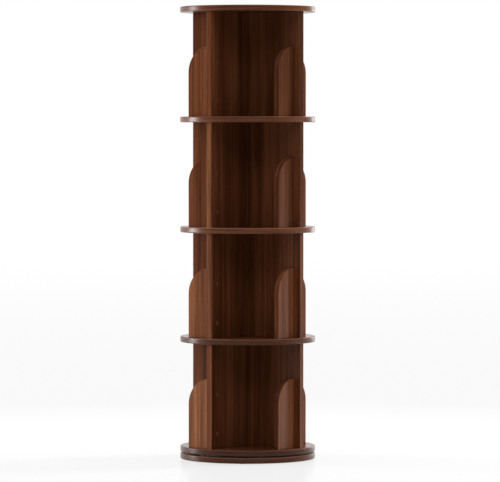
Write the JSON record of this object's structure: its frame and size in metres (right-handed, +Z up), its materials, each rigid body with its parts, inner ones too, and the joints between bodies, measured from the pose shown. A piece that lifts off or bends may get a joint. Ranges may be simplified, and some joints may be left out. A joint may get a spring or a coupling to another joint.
{
  "type": "rotating bookshelf",
  "caption": "Tall round walnut bookshelf whose crossed boards and round shelves turn as one on a ball bearing ring in its base disc.",
  "frame": {"origin": "on the floor under the centre of the round base", "axes": "+Z up along the axis that the shelf turns on; the long board of each tier lies along X and the cross board along Y at rest"},
  "size_m": [0.3999, 0.4, 1.34],
  "materials": {
    "walnut_discs": "satin walnut veneer on board, edge banded",
    "walnut_boards": "satin walnut veneer on board, upright grain",
    "walnut_fins": "satin walnut veneer on board, upright grain",
    "ring_aluminium": "satin",
    "ball_steel": "polished",
    "cage_nylon": "matte",
    "zinc_fittings": "zinc plated",
    "beech_dowels": "raw",
    "brown_caps": "matte",
    "felt_pads": "felt"
  },
  "bodies": {
    "base": {"foot_pads": "felt_pads", "base_disc": "walnut_discs", "base_bolts": "zinc_fittings", "turntable_outer_ring": "ring_aluminium"},
    "ball_cage": {"bearing_balls": "ball_steel", "ball_cage": "cage_nylon"},
    "shelf": {"turntable_inner_ring": "ring_aluminium", "ring_screws": "zinc_fittings", "bottom_shelf": "walnut_discs", "shelf_2": "walnut_discs", "shelf_3": "walnut_discs", "shelf_4": "walnut_discs", "top_disc": "walnut_discs", "long_board_1": "walnut_boards", "long_board_2": "walnut_boards", "long_board_3": "walnut_boards", "long_board_4": "walnut_boards", "cross_board_1": "walnut_boards", "cross_board_2": "walnut_boards", "cross_board_3": "walnut_boards", "cross_board_4": "walnut_boards", "fin_1a": "walnut_fins", "fin_1b": "walnut_fins", "fin_1c": "walnut_fins", "fin_1d": "walnut_fins", "fin_2a": "walnut_fins", "fin_2b": "walnut_fins", "fin_2c": "walnut_fins", "fin_2d": "walnut_fins", "fin_3a": "walnut_fins", "fin_3b": "walnut_fins", "fin_3c": "walnut_fins", "fin_3d": "walnut_fins", "fin_4a": "walnut_fins", "fin_4b": "walnut_fins", "fin_4c": "walnut_fins", "fin_4d": "walnut_fins", "through_dowels": "beech_dowels", "blind_dowels": "beech_dowels", "double_cam_bolts": "zinc_fittings", "single_cam_bolts": "zinc_fittings", "cam_locks": "zinc_fittings", "cam_caps": "brown_caps", "fin_screws": "zinc_fittings", "fin_screw_caps": "brown_caps"}
  },
  "joints": [
    {"name": "shelf_turn", "type": "hinge", "parent": "base", "child": "shelf", "pos_m": [0, 0, 0.021], "axis": [0, 0, 1], "continuous": true},
    {"name": "cage_turn", "type": "hinge", "parent": "base", "child": "ball_cage", "pos_m": [0, 0, 0.021], "axis": [0, 0, 1], "continuous": true}
  ],
  "couplings": [
    {"joint": "cage_turn", "follows": "shelf_turn", "ratio": 0.5}
  ]
}
